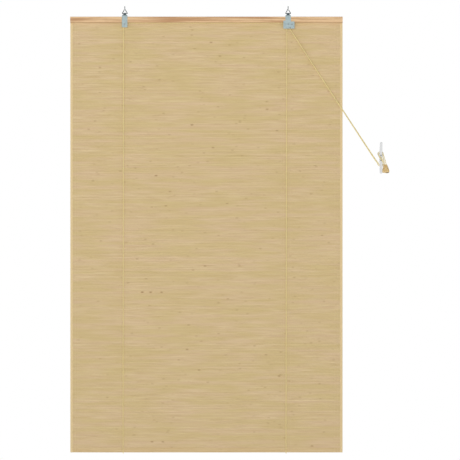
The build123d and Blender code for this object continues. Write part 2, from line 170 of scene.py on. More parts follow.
for name in ("key", "fill"):  # a large soft box in front, and a weaker one for the back
    softBox = bpy.data.lights.new(name + "SoftBox", "AREA")
    softBox.size = picture[name + "Size"]
    softBox.energy = picture[name + "Power"]
    stand = bpy.data.objects.new(name + "SoftBox", softBox)
    stand.location = picture[name + "Place"]
    stand.rotation_euler = (aim - stand.location).to_track_quat("-Z", "Y").to_euler()
    stand.visible_glossy = False  # the metal mirrors the white walls only
    scene.collection.objects.link(stand)

# Matt floor paint: rolled on without gloss, so it only catches a faint shadow
floorPaint, tree = newMaterial("floorPaint")
floorTone = linear(picture["floorColour"])
glow = {"Emission Color": floorTone, "Emission Strength": picture["floorGlow"]}
finishMaterial(tree, {"Base Color": floorTone, "Roughness": picture["floorRoughness"], **glow})
half = picture["floorSize"] / 2
floorMesh = bpy.data.meshes.new("floor")
corners = [(-half, -half), (half, -half), (half, half), (-half, half)]
floorMesh.from_pydata([(x, y, picture["floorHeight"]) for x, y in corners], [], [(0, 1, 2, 3)])
floorMesh.materials.append(floorPaint)
floor = bpy.data.objects.new("floor", floorMesh)
scene.collection.objects.link(floor)


def addPiece(name, vertices, faces, material, slot, replaced=()):
    mesh = bpy.data.meshes.new(name)
    mesh.from_pydata(vertices, [], faces)
    mesh.materials.append(material)
    mesh.polygons.foreach_set("use_smooth", [True] * len(faces))
    piece = bpy.data.objects.new(name, mesh)
    scene.collection.objects.link(piece)
    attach(piece, "blind")
    if replaced:
        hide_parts(*replaced)
    return piece


def dress(nodeName, material):  # a CAD node keeps its shape and takes a material
    slots = nodes[nodeName].data.materials
    slots.clear()
    slots.append(material)


def shell(count, size, first=0, endless=False):  # faces between rings of points, and at its two ends
    faces = []
    for ring in range(count if endless else count - 1):
        here, there = first + ring * size, first + (ring + 1) % count * size
        for side in range(size):
            after = (side + 1) % size
            faces.append((here + side, here + after, there + after, there + side))
    if not endless:
        faces += [tuple(range(first, first + size))[::-1], tuple(range(there, there + size))]
    return faces


def joined(parts):  # several (vertices, faces) as one
    vertices, faces = [], []
    for more, sides in parts:
        start = len(vertices)
        vertices += more
        faces += [tuple(start + corner for corner in face) for face in sides]
    return vertices, faces


# All wood: the grain bends slowly, and fine pores darken it a little
woodGrain = {
    "bendScale": 6.0,
    "bendDetail": 2.0,
    "bendReach": (0.0, 0.004, 0.004),  # metres
    "streakDetail": 5.0,
    "poreDetail": 3.0,
    "poreRange": (0.52, 0.74),
    "poreShade": 0.55,
    "poreBump": 0.6,
    "refraction": 1.5,
}


def woodMaterial(name, look):
    material, tree = newMaterial(name)
    place = placeOn(tree)
    wave = {"Vector": place, "Scale": woodGrain["bendScale"], "Detail": woodGrain["bendDetail"]}
    drift = addNode(tree, "ShaderNodeTexNoise", wave).outputs["Color"]
    reach = {0: drift, 1: woodGrain["bendReach"]}
    bend = addNode(tree, "ShaderNodeVectorMath", reach, operation="MULTIPLY")
    bent = moved(tree, place, bend.outputs[0])
    streaks = noise(tree, scaled(tree, bent, look["grain"]), woodGrain["streakDetail"])
    pores = noise(tree, scaled(tree, bent, look["pores"]), woodGrain["poreDetail"])
    tone = stretched(tree, streaks, *look["contrast"])
    flecks = stretched(tree, pores, *woodGrain["poreRange"], high=woodGrain["poreShade"])
    colour = blend(tree, flecks, blend(tree, tone, look["pale"], look["warm"]), look["dark"])
    if "paintedCupShade" in look:  # painted shade inside a bored cup
        colour = blend(tree, ownValue(tree, "cupShadeMask"), colour, look["paintedCupShade"])
    if "paintedEdgeShade" in look:  # painted shade: upright faces darkened along their long top and bottom edges
        middle, begin, full = [height * mm for height in look["edgeHeights"]]
        away = calculated(tree, "ABSOLUTE", calculated(tree, "ADD", heightOf(tree, place), -middle))
        paintedShadeShare = stretched(tree, away, begin, full, high=look["edgeShare"])
        level = calculated(tree, "ABSOLUTE", heightOf(tree, placeOn(tree, "Normal")))
        colour = blend(tree, stretched(tree, level, low=paintedShadeShare, high=0.0), colour, look["paintedEdgeShade"])
    surface = {"Base Color": colour, "Roughness": look["roughness"], "IOR": woodGrain["refraction"]}
    surface["Normal"] = bumps(tree, pores, woodGrain["poreBump"], look["poreDepth"])
    finishMaterial(tree, surface)
    return material


# Head rail: sawn and planed paulownia, a pale wood with a pinkish tone and long soft grain
railWood = {
    "pale": "#e3c094",
    "warm": "#bd9169",
    "dark": "#9f744d",
    "grain": (190, 14, 5),  # millimetres of one streak along the rail, in depth and in height
    "contrast": (0.42, 0.6),
    "edgeHeights": (-40.4, 8.8, 11.2),  # the middle, and how far off it the painted edge shade begins and is full
    # painted shade along the rail's top and bottom edges
    "paintedEdgeShade": "#8a643c",
    "edgeShare": 0.8,
    "pores": (18, 0.9, 0.5),
    "roughness": 0.62,
    "poreDepth": 0.00012,
}
planedPaulownia = woodMaterial("planedPaulownia", railWood)
for name in ("head_rail_front", "head_rail_back"):
    dress(name, planedPaulownia)

# Bottom slat: a split bamboo strip, planed, of the same straw tone as the reeds
slatWood = {
    "pale": "#d6bd90",
    "warm": "#c9ab7a",
    "dark": "#a98a58",
    "grain": (220, 4, 2.4),
    "contrast": (0.36, 0.64),
    "pores": (30, 0.8, 0.5),
    "roughness": 0.5,
    "poreDepth": 0.00008,
}
planedBamboo = woodMaterial("planedBamboo", slatWood)
dress("bottom_slat", planedBamboo)
print("rail and slat")

# Mat: split bamboo reeds, each a little uneven, with the ring-shaped joints of the stem
matLook = {
    "halfLength": 499.4,
    "top": -30.0,
    "bottom": -1613.0,
    "reeds": 316,
    "widthSpread": 0.22,  # of a reed's width
    "halfThickness": 1.2,
    "thinnest": 1.02,
    "crown": 0.16,  # how far the faces fall away above and below a reed's middle
    "edgeDepth": 0.42,
    "edgeWidth": 0.55,
    "overlap": 0.04,
    "wander": 0.11,  # of the middle up and down, along waves that begin anywhere
    "wanderLength": 140,
    "wanderStart": 6.28,
    "stationStep": 62.0,
    "endStation": 0.8,  # keeps the shading flat right up to the ends
    "firstJoint": 10,
    "lastJoint": 8,
    "jointSpacing": (190, 380),
    "jointsApart": 12,
    "jointRise": 0.13,
    "jointHalf": 3.6,
    "jointShape": [(-2, 0), (-1 / 2, 0.8), (1 / 3, 1), (2, 0)],  # half joints from its middle, and swelling
    "jointRoom": 3,  # half joints without other stations
    "faintJoints": 0.3,
    "strongJoints": 0.7,
    "seed": 11,
}
# The brown joints that stand out, as millimetres from the middle and from the ceiling, and how dark each is
darkJoints = [
    (-53, -427, 0.8), (24, -512, 0.7), (-185, -614, 0.9), (-134, -673, 0.6), (-149, -724, 0.7),
    (-200, -728, 0.5), (76, -717, 0.6), (50, -174, 0.6), (17, -126, 0.7), (259, -449, 0.6),
    (223, -368, 0.7), (-391, -218, 0.6), (-236, -1044, 1.0), (-205, -1044, 0.9), (-165, -1044, 0.8),
    (79, -1066, 0.5), (-71, -1249, 0.7), (-27, -1330, 0.6), (219, -1272, 0.6), (267, -1352, 0.7),
    (-200, -1591, 0.9), (-160, -1591, 0.7), (388, -1606, 0.8), (-5, -945, 0.6), (425, -831, 0.5),
]
reedColours = {
    "straw": "#dac397",
    "sand": "#c8ad80",
    "sandRange": (0.3, 0.7),
    "rose": "#d4b694",
    "roseShare": 0.5,
    "olive": "#c8b376",
    "oliveRange": (0.38, 0.62),
    "oliveShare": 0.45,
    "joint": "#946c40",
    "streak": (75, 1000, 4.8),  # millimetres of one streak along a reed, in depth and across
    "streakDetail": 3.0,
    "fibre": (9, 1000, 0.7),
    "fibreDetail": 2.0,
    "fibreBump": 0.5,
    "fibreDepth": 0.0001,
    "band": (190, 1000, 26),
    "bandDetail": 1.0,
    "reedShift": 9.0,  # metres between the darkest and the lightest reed's part of the pattern
    "roughness": 0.58,
    "refraction": 1.5,
}


def reedRows(look, chance):  # the boundaries between reeds, from the top down
    widths = [1 + chance.uniform(-1, 1) * look["widthSpread"] for _ in range(look["reeds"])]
    share = (look["top"] - look["bottom"]) / sum(widths)
    heights = [look["top"]]
    for width in widths:
        heights.append(heights[-1] - width * share)
    return heights


def jointsOf(reed, heights, look, chance):  # where a reed's joints are and how brown
    found = []
    x = -look["halfLength"] + chance.uniform(look["firstJoint"], look["jointSpacing"][1])
    while x < look["halfLength"] - look["lastJoint"]:
        found.append((x, chance.random() ** 3 * look["faintJoints"]))
        x += chance.uniform(*look["jointSpacing"])
    for x, z, depth in darkJoints:
        if heights[reed + 1] <= z < heights[reed]:
            found = [other for other in found if abs(other[0] - x) > look["jointsApart"]]
            found.append((x, depth * look["strongJoints"]))
    return sorted(found)


def stationsOf(joints, look):  # places along a reed, closer at its joints, with swelling and browning
    half, reach = look["jointHalf"], look["halfLength"]
    places = {}
    count = round(2 * reach / look["stationStep"])
    for step in range(count + 1):
        x = -reach + 2 * reach * step / count
        if all(abs(x - joint) > look["jointRoom"] * half for joint, _ in joints):
            places[x] = (0, 0)
    for way in (-1, 1):
        places[way * (reach - look["endStation"])] = (0, 0)
    for joint, depth in joints:
        for along, swelling in look["jointShape"]:
            places[joint + along * half] = (swelling, depth if swelling else 0)
    return sorted((x, *found) for x, found in places.items() if abs(x) <= reach)


def reedRing(front, back, high, low, middle, rise, look):  # a reed's outline from its front's top edge down
    crown, edge, inset = look["crown"], look["edgeDepth"], look["edgeWidth"]
    return [
        (front + edge, high), (front + crown - rise, high - inset), (front - rise, middle),
        (front + crown - rise, low + inset), (front + edge, low), (back - edge, low),
        (back - crown + rise, low + inset), (back + rise, middle),
        (back - crown + rise, high - inset), (back - edge, high),
    ]


def buildMat(look):
    chance = random.Random(look["seed"])
    heights = reedRows(look, chance)
    vertices, faces, tones, browns = [], [], [], []
    for reed in range(look["reeds"]):
        top, bottom = heights[reed], heights[reed + 1]
        tone = chance.random()
        front = -chance.uniform(look["thinnest"], look["halfThickness"])
        back = chance.uniform(look["thinnest"], look["halfThickness"])
        phase = chance.uniform(0, look["wanderStart"])
        first = len(vertices)
        stations = stationsOf(jointsOf(reed, heights, look, chance), look)
        for x, swelling, brown in stations:
            middle = (top + bottom) / 2 + look["wander"] * math.sin(x / look["wanderLength"] + phase)
            high, low = top + look["overlap"], bottom - look["overlap"]
            ring = reedRing(front, back, high, low, middle, look["jointRise"] * swelling, look)
            vertices += [(x * mm, y * mm, z * mm) for y, z in ring]
            tones += [tone] * len(ring)
            browns += [brown] * len(ring)
        faces += shell(len(stations), len(ring), first)
    return heights, vertices, faces, tones, browns


def reedMaterial(name, look):  # soft changes of tone from reed to reed, along each and over bands of them
    material, tree = newMaterial(name)
    place = placeOn(tree)
    tone = ownValue(tree, "reedTone")
    apart = calculated(tree, "MULTIPLY", tone, look["reedShift"])
    ownPlace = moved(tree, place, addNode(tree, "ShaderNodeCombineXYZ", {"Y": apart}).outputs[0])
    streaks = noise(tree, scaled(tree, ownPlace, look["streak"]), look["streakDetail"])
    fibres = noise(tree, scaled(tree, ownPlace, look["fibre"]), look["fibreDetail"])
    bands = noise(tree, scaled(tree, place, look["band"]), look["bandDetail"])
    colour = blend(tree, stretched(tree, streaks, *look["sandRange"]), look["straw"], look["sand"])
    colour = blend(tree, stretched(tree, tone, high=look["roseShare"]), colour, look["rose"])
    oliveShare = stretched(tree, bands, *look["oliveRange"], high=look["oliveShare"])
    colour = blend(tree, oliveShare, colour, look["olive"])
    colour = blend(tree, ownValue(tree, "jointBrown"), colour, look["joint"])
    surface = {"Base Color": colour, "Roughness": look["roughness"], "IOR": look["refraction"]}
    surface["Normal"] = bumps(tree, fibres, look["fibreBump"], look["fibreDepth"])
    finishMaterial(tree, surface)
    return material


# Split bamboo, outer skin left on and oiled: matt satin with long fibres
splitBamboo = reedMaterial("splitBamboo", reedColours)
reedHeights, vertices, faces, tones, browns = buildMat(matLook)
reedMat = addPiece("reedMat", vertices, faces, splitBamboo, "reeds", ["reed_mat"])
for name, values in (("reedTone", tones), ("jointBrown", browns)):
    reedMat.data.attributes.new(name, "FLOAT", "POINT").data.foreach_set("value", values)
print("mat of", matLook["reeds"], "reeds")

# All cloth: two colours by strand, and fine bumps
clothWeave = {
    "detail": 2.0,
    "contrast": (0.35, 0.65),
    "ribScale": 0.314,  # gives the wave one rib for each of its features
    "ribWaver": 0.6,
    "bump": 0.6,
    "refraction": 1.5,
}


def clothMaterial(name, look):
    material, tree = newMaterial(name)
    place = placeOn(tree)
    yarn = noise(tree, scaled(tree, place, look["yarn"]), clothWeave["detail"])
    colour = blend(tree, stretched(tree, yarn, *clothWeave["contrast"]), look["light"], look["dark"])
    height = yarn
    if "rib" in look:
        wave = {"Scale": clothWeave["ribScale"], "Distortion": clothWeave["ribWaver"]}
        wave["Vector"] = scaled(tree, place, look["rib"])
        ribs = addNode(tree, "ShaderNodeTexWave", wave, bands_direction="Z")
        height = calculated(tree, "ADD", ribs.outputs["Fac"], yarn)
    surface = {"Base Color": colour, "Roughness": look["roughness"], "Sheen Weight": look["sheen"]}
    surface["IOR"] = clothWeave["refraction"]
    surface["Normal"] = bumps(tree, height, clothWeave["bump"], look["depth"])
    finishMaterial(tree, surface)
    return material


def squareTo(way):  # a direction at length one, and two more square to it
    way = Vector(way).normalized()
    across = way.orthogonal().normalized()
    return way, across, way.cross(across)


def outward(across, up, angle):
    return across * math.cos(angle) + up * math.sin(angle)


def framesAlong(points):  # each point of a line with two directions square to it that hardly turn
    frames, across = [], None
    for index, point in enumerate(points):
        ahead = points[min(index + 1, len(points) - 1)] - points[max(index - 1, 0)]
        ahead.normalize()
        if across is None:
            across = ahead.orthogonal().normalized()
        across = (across - ahead * across.dot(ahead)).normalized()
        frames.append((point, across, ahead.cross(across)))
    return frames


def tube(path, radius, sides):  # vertices and faces of a round tube along points in millimetres
    frames = framesAlong([Vector(point) for point in path])
    radii = radius if isinstance(radius, list) else [radius] * len(frames)
    vertices = []
    for (point, across, up), reach in zip(frames, radii):
        for side in range(sides):
            vertices.append((point + outward(across, up, fullTurn * side / sides) * reach) * mm)
    return vertices, shell(len(frames), sides)


# Warp threads: two spun and waxed threads at each place, crossing between the reeds
threadLook = {
    "places": [-481, -472, -314, -294.5, 275, 282.3, 310.2, 472, 481],
    "radius": 0.34,
    "sides": 4,
    "apart": 0.42,
    "lie": 1.38,
    "shoulder": 0.32,  # of a reed's width, from its edge to where the thread lies flat on it
    "railBottom": -52.0,
    "matBottom": -1630.0,
    "slatTop": 1.6,
    "end": 0.4,
    "light": "#e6d3aa",
    "dark": "#d8c193",
    "yarn": (0.8, 0.8, 1.4),
    "depth": 0.0002,
    "roughness": 0.7,
    "sheen": 0.2,
}
waxedThread = clothMaterial("waxedThread", threadLook)


def warpPath(x, way, look):  # one thread, before and behind the reeds in turn
    path = []
    for reed in range(len(reedHeights) - 1):
        top, bottom = reedHeights[reed], reedHeights[reed + 1]
        if top > look["railBottom"]:
            continue
        side = way if reed % 2 else -way
        shoulder = look["shoulder"] * (top - bottom)
        path.append((x, 0, top))
        for z in (top - shoulder, bottom + shoulder):
            path.append((x + side * look["apart"], side * look["lie"], z))
    path.append((x, 0, reedHeights[-1]))
    for z in (reedHeights[-1] - look["slatTop"], look["matBottom"] + look["end"]):
        path.append((x + way * look["apart"], way * look["lie"], z))
    return path


warpPaths = [warpPath(x, way, threadLook) for x in threadLook["places"] for way in (-1, 1)]
warpParts = [tube(path, threadLook["radius"], threadLook["sides"]) for path in warpPaths]
addPiece("warpThreads", *joined(warpParts), waxedThread, "thread", ["warp_threads"])
print("warp threads")

# Edge tapes: woven cotton tape folded round the mat's sides and sewn through
tapeLook = {
    "edge": 500.0,
    "width": 9.0,
    "thickness": 0.55,
    "hemDrop": 0.1,  # how much the hem, the fold and the outer edge are rounded off
    "hemRound": 0.5,
    "foldRound": 0.4,
    "edgeRound": 0.1,
    "matHalf": 1.22,
    "top": -52.0,
    "bottom": -1630.0,
    "rowStep": 4.0,
    "scallopPitch": 20.0,
    "scallop": 0.45,
    "pucker": 0.1,
    "stitchLine": 6.9,  # millimetres in from the outer edge
    "stitchLength": 3.0,
    "stitchPitch": 4.4,
    "stitchRadius": 0.26,
    "stitchSides": 4,
    "stitchSlope": 0.5,
    "stitchSunk": 0.15,
    "stitchProud": 0.12,
    "firstStitch": 2,  # millimetres below the tape's top, and above its bottom
    "lastStitch": 4,
    "light": "#e6cfa0",
    "dark": "#d8bd8c",
    "yarn": (1.6, 1.6, 0.9),
    "rib": (1.6, 1.6, 1.6),
    "depth": 0.0003,
    "roughness": 0.85,
    "sheen": 0.3,
}
cottonTape = clothMaterial("cottonTape", tapeLook)


def tapeSection(look, stretch, lift):  # the folded tape's outline, its inner face and then its outer
    inner, outer = look["matHalf"], look["matHalf"] + look["thickness"]
    hem = look["edge"] - look["width"] + stretch
    fold = look["edge"] - look["thickness"]
    middle = (hem + fold) / 2
    inside = [(hem, inner), (middle, inner), (fold, inner)]
    outside = [(hem, outer - look["hemDrop"]), (hem + look["hemRound"], outer), (middle, outer + lift)]
    outside += [(fold - look["foldRound"], outer), (look["edge"] - look["edgeRound"], inner)]
    frontInside, frontOutside = [[(x, -y) for x, y in half] for half in (inside, outside)]
    return frontInside + inside[::-1] + outside + [(look["edge"], 0)] + frontOutside[::-1]


def buildTape(side, look):
    vertices = []
    count = round((look["top"] - look["bottom"]) / look["rowStep"])
    for row in range(count + 1):
        z = look["top"] - row * (look["top"] - look["bottom"]) / count
        stretch = look["scallop"] * math.sin(fullTurn * z / look["scallopPitch"])
        lift = look["pucker"] * math.sin(fullTurn * z / (look["stitchPitch"] * 2))
        section = tapeSection(look, stretch, lift)
        vertices += [(side * x * mm, y * mm, z * mm) for x, y in section]
    faces = shell(count + 1, len(section))
    return vertices, faces if side < 0 else [face[::-1] for face in faces]


def buildStitches(side, look):
    parts = []
    x = side * (look["edge"] - look["stitchLine"])
    outer = look["matHalf"] + look["thickness"]
    length, slope = look["stitchLength"], look["stitchSlope"]
    z = look["top"] - look["firstStitch"]
    while z > look["bottom"] + look["lastStitch"]:
        for way in (-1, 1):
            sunk, proud = way * (outer - look["stitchSunk"]), way * (outer + look["stitchProud"])
            head, foot = z - slope, z - length + slope
            path = [(x, sunk, z), (x, proud, head), (x, proud, foot), (x, sunk, z - length)]
            parts.append(tube(path, look["stitchRadius"], look["stitchSides"]))
        z -= look["stitchPitch"]
    return joined(parts)


for side, name in ((-1, "left"), (1, "right")):
    title = name.title()
    shape = buildTape(side, tapeLook)
    tape = addPiece("edgeTape" + title, *shape, cottonTape, "tape", ["edge_tape_" + name])
    stitches = addPiece("tapeStitches" + title, *buildStitches(side, tapeLook), waxedThread, "thread")
print("edge tapes")

# Cords: three-ply cotton and polyester twine, laid and waxed, straw yellow
cordLook = {
    "radius": 1.5,
    "strandRadius": 0.79,
    "strandOffset": 0.71,
    "turn": 8.5,  # millimetres for one turn of the twist
    "step": 1.35,
    "sides": 6,
    "light": "#f1e0a4",
    "dark": "#dbc98a",
    "yarn": (0.9, 0.9, 0.9),
    "depth": 0.00025,
    "roughness": 0.72,
    "sheen": 0.25,
}
waxedTwine = clothMaterial("waxedTwine", cordLook)


def smoothLine(name, points):  # the points of a NURBS line with listed control points, in millimetres
    line = bpy.data.curves.new(name, "CURVE")
    line.dimensions = "3D"
    line.resolution_u = 16
    spline = line.splines.new("NURBS")
    spline.points.add(len(points) - 1)
    for point, place in zip(spline.points, points):
        point.co = (*[value * mm for value in place], 1)
    spline.order_u = 3
    spline.use_endpoint_u = True
    holder = bpy.data.objects.new(name, line)
    scene.collection.objects.link(holder)
    bpy.context.view_layer.update()
    mesh = bpy.data.meshes.new_from_object(holder)
    found = [vertex.co / mm for vertex in mesh.vertices]
    bpy.data.objects.remove(holder)
    bpy.data.curves.remove(line)
    bpy.data.meshes.remove(mesh)
    return found


def evenly(points, step):  # the same line with points at equal steps, and its length
    lengths = [0]
    for before, after in zip(points, points[1:]):
        lengths.append(lengths[-1] + (after - before).length)
    count = max(2, round(lengths[-1] / step))
    found, index = [], 0
    for number in range(count + 1):
        at = lengths[-1] * number / count
        while index < len(points) - 2 and lengths[index + 1] < at:
            index += 1
        span = lengths[index + 1] - lengths[index]
        share = (at - lengths[index]) / span if span else 0
        found.append(points[index].lerp(points[index + 1], min(share, 1)))
    return found, lengths[-1]


def twine(points, look):  # three strands laid round a line
    path, length = evenly(points, look["step"])
    strands = [[], [], []]
    for index, (point, across, up) in enumerate(framesAlong(path)):
        twist = fullTurn * index * (length / (len(path) - 1)) / look["turn"]
        for number, strand in enumerate(strands):
            angle = twist + fullTurn * number / len(strands)
            strand.append(point + outward(across, up, angle) * look["strandOffset"])
    return [tube(strand, look["strandRadius"], look["sides"]) for strand in strands], path, length


# Lift cords: from a knot behind the strap down the back, under the slat, up the front and over the pulleys
liftLeftRoute = [
    (-303.2, 12.4, -64.5), (-303.2, 6.5, -64.5), (-303.2, 6.48, -70.4), (-303.25, 6.4, -84),
    (-306.17, 2.6, -1617.5), (-306.2, 2.55, -1625), (-306.2, 2.7, -1632.9), (-306.2, -2.7, -1632.9),
    (-306.2, -2.55, -1625), (-306.18, -2.6, -1617.5),
    (-304.22, -6.17, -68.5), (-304.25, -6.2, -61.9), (-305.4, -6.2, -52.3), (-295.8, -6.22, -53.5),
    (-285, -6.25, -53.5), (286, -7.5, -53.5), (296, -7.53, -53.5), (305.8, -7.55, -52.3),
    (304.6, -7.55, -62.5), (304.6, -7.55, -72.35),
]
liftRightRoute = [
    (295.0, 12.4, -64.5), (295.0, 6.5, -64.5), (295.0, 6.48, -70.4), (294.97, 6.4, -84),
    (292.32, 2.6, -1617.5), (292.3, 2.55, -1625), (292.3, 2.7, -1632.9), (292.3, -2.7, -1632.9),
    (292.3, -2.55, -1625), (292.32, -2.58, -1617.5),
    (295.37, -4.83, -68.5), (295.4, -4.85, -62.5), (294.2, -4.85, -52.3), (300, -4.85, -53.2),
    (305.8, -4.85, -52.3), (304.6, -4.85, -62.5), (304.6, -4.85, -72.35),
]
# Pull cords, from the cleat's middle: to the lower horn, over the front, round the upper horn, to a tassel
cleatMiddle = Vector((641.0, 0, -548.0))
leftWind = [
    (-13.6, -3.8, -17.6), (-10.4, 5.6, -26.6), (-1.5, 9.8, -32), (6.6, 7.2, -30.6), (9, -0.8, -24.2),
    (8, -9.4, -12.6), (3, -12.8, -1.8), (-6.8, -11, 6.8), (-12.4, -3.4, 12.6), (-9.8, 5.2, 20),
    (-0.8, 9.2, 24), (7, 6.4, 22), (9, 0.2, 11.6), (12.6, -3.5, 0.2), (16.2, -5.8, -12),
    (18.9, -6.8, -25.2), (21.9, -12.85, -47.3),
]
rightWind = [
    (-10.8, -0.6, -16), (-8.2, 4, -23.6), (-0.8, 6.8, -28), (6, 4.6, -26.6), (8, -0.8, -21.2),
    (6.6, -7.2, -14), (0.6, -9.6, -6), (-6.4, -8, 1.8), (-9.6, -2.6, 9.6), (-7.4, 3.6, 16.6),
    (-0.6, 6.6, 20), (5.6, 4, 17.4), (7, 1.8, 8), (9.4, 3, -3), (12.4, 5.6, -13),
    (14.2, 7.6, -23.6), (13.4, 7.2, -46.4),
]
lockMouth = {"left": Vector((304.6, -7.55, -72.35)), "right": Vector((304.6, -4.85, -72.35))}
mouthRun, stretchEnd = 3.0, 15.0  # millimetres from the mouth and from the cleat to the long run's ends
sag = Vector((-2.6, 0, -1.6))  # how far the long run hangs off the straight line near the cleat


def pullRoute(side, wind):  # the control points from the lock's mouth, one of them near the cleat
    places = [cleatMiddle + Vector(point) for point in wind]
    way = (places[0] - lockMouth[side]).normalized()
    return [lockMouth[side] + way * mouthRun, places[0] - way * stretchEnd + sag, *places]


routes = {
    "left": (liftLeftRoute, pullRoute("left", leftWind)),
    "right": (liftRightRoute, pullRoute("right", rightWind)),
}


def turned(outline, sides, start, way):  # an outline of (radius, distance along way) spun round a line
    way, across, up = squareTo(way)
    vertices = []
    for step in range(sides):
        out = outward(across, up, fullTurn * step / sides)
        vertices += [(Vector(start) + out * radius + way * along) * mm for radius, along in outline]
    return vertices, shell(sides, len(outline), endless=True)


# Tassels: turned beech, pale and waxed, the grain along each tassel, painted shade in the cup bored out
# below
tasselWood = {
    "pale": "#e8cf98",
    "warm": "#d0aa6c",
    "dark": "#a07a44",
    "grain": (3, 3, 26),
    "contrast": (0.36, 0.64),
    "pores": (0.7, 0.7, 6),
    "roughness": 0.42,
    "poreDepth": 0.00006,
    "paintedCupShade": "#5d4223",
    "hollowFrom": 19,  # the outline's point where the cup and its painted shade begin
    "sides": 48,
    # radius and distance from the top, round the outside, the lip, the cup and the bore
    "outline": [
        (1.6, 0.5), (2.4, 0.06), (3.1, 0), (3.5, 0.4), (3.8, 2), (4.2, 4.2), (4.8, 6.4), (5.55, 9.6),
        (6.35, 13.2), (7.05, 17), (7.65, 20.4), (8.05, 23.4), (8.2, 25.6), (8.12, 27.4), (7.8, 29),
        (7.3, 30.2), (6.7, 30.8), (6.1, 31), (5.5, 30.9), (4.95, 30.5), (4.7, 29.8), (4.6, 28.8),
        (4.55, 26), (4.4, 23.4), (4.0, 22.4), (3.2, 22), (1.6, 22),
    ],
}
turnedBeech = woodMaterial("turnedBeech", tasselWood)

# Knots: an overhand knot pulled tight in the same twine, with a short tail
knotLook = {
    "steps": 60,
    "reach": 0.51,
    "rise": 1.25,
    "lead": 2.4,  # from where the cord enters to the knot's middle
    "tail": [(0, 0), (1.5, 0.4), (3.4, 0.8)],  # along the cord and to one side, from the knot's middle
}


def buildKnot(start, way):
    way, across, up = squareTo(way)
    middle = Vector(start) + way * knotLook["lead"]
    loop = []
    for step in range(knotLook["steps"] + 1):
        angle = fullTurn * step / knotLook["steps"]
        x = math.sin(angle) + 2 * math.sin(2 * angle)
        y = math.cos(angle) - 2 * math.cos(2 * angle)
        z = -math.sin(3 * angle)
        loop.append(middle + (across * x + up * y) * knotLook["reach"] + way * z * knotLook["rise"])
    tail = [middle + way * along + across * aside for along, aside in knotLook["tail"]]
    return joined(twine(loop, cordLook)[0] + twine(tail, cordLook)[0])


tassels = {"left": ("Right", "right"), "right": ("Left", "left")}  # which tassel each pull cord carries
for side, (lift, pull) in routes.items():
    liftRoute = [Vector(point) for point in lift] + [pull[0]]
    strands, path, length = twine(smoothLine("liftLine", liftRoute), cordLook)
    addPiece("liftCord" + side.title(), *joined(strands), waxedTwine, "cord", ["lift_cord_" + side])
    print("lift cord", side, round(length, 1), "mm")
    strands, path, length = twine(smoothLine("pullLine", pull), cordLook)
    piece = addPiece("pullCord" + side.title(), *joined(strands), waxedTwine, "cord", ["pull_cord_" + side])
    print("pull cord", side, round(length, 1), "mm")
    title, nodeSide = tassels[side]
    way = pull[-1] - pull[-2]
    outline = tasselWood["outline"]
    tassel = addPiece(
        "tassel" + title,
        *turned(outline, tasselWood["sides"], pull[-2], way),
        turnedBeech,
        "tassel_wood",
        ["tassel_" + nodeSide],
    )
    count = len(tassel.data.vertices)
    # the cup's points, which take the painted shade
    inCup = [float(number % len(outline) >= tasselWood["hollowFrom"]) for number in range(count)]
    tassel.data.attributes.new("cupShadeMask", "FLOAT", "POINT").data.foreach_set("value", inCup)
    knotShape = buildKnot(pull[-1], way)
    knot = addPiece("tasselKnot" + title, *knotShape, waxedTwine, "cord", ["tassel_knot_" + nodeSide])
    knotShape = buildKnot(lift[0], (0, 1, 0))
    addPiece("liftKnot" + side.title(), *knotShape, waxedTwine, "cord", ["knot_" + side])

strapMiddle = 300  # millimetres from the blind's middle to each strap

# Metals: dip-galvanised sheet with a soft spangle, zinc-plated wire and plain cold-headed steel rivets
metals = {
    "sheet": {"light": "#c6d5d6", "dark": "#aec2c4", "grain": 4.0, "roughness": (0.36, 0.5), "depth": 3e-5},
    "wire": {"light": "#6e7778", "dark": "#565f60", "grain": 0.8, "roughness": (0.34, 0.5), "depth": 2e-5},
    "rivet": {"light": "#b9bdbf", "dark": "#8f9598", "grain": 1.4, "roughness": (0.28, 0.42), "depth": 2e-5},
}
metalSkin = {"spangleShare": 0.6, "smearShare": 0.4, "smearScale": 400, "smearDetail": 3.0, "bump": 0.4}


def metalMaterial(name, look):
    material, tree = newMaterial(name)
    place = placeOn(tree)
    spangle = addNode(tree, "ShaderNodeTexVoronoi", {"Vector": place, "Scale": 1000 / look["grain"]})
    smear = noise(tree, place, metalSkin["smearDetail"], metalSkin["smearScale"] / look["grain"])
    grey = addNode(tree, "ShaderNodeSeparateColor", {"Color": spangle.outputs["Color"]}).outputs[0]
    smeared = calculated(tree, "MULTIPLY", smear, metalSkin["smearShare"])
    mixed = calculated(tree, "MULTIPLY_ADD", grey, metalSkin["spangleShare"], smeared)
    low, high = look["roughness"]
    surface = {"Base Color": blend(tree, mixed, look["light"], look["dark"]), "Metallic": 1.0}
    surface["Roughness"] = stretched(tree, mixed, low=low, high=high)
    surface["Normal"] = bumps(tree, mixed, metalSkin["bump"], look["depth"])
    finishMaterial(tree, surface)
    return material


galvanised = metalMaterial("dipGalvanisedSheet", metals["sheet"])
plated = metalMaterial("zincPlatedWire", metals["wire"])
riveted = metalMaterial("steelRivet", metals["rivet"])
for name in ("strap_left", "lock_housing"):
    dress(name, galvanised)
for name in ("axle_left", "axle_lock", "cam_pin", "guide_pin"):
    dress(name, riveted)

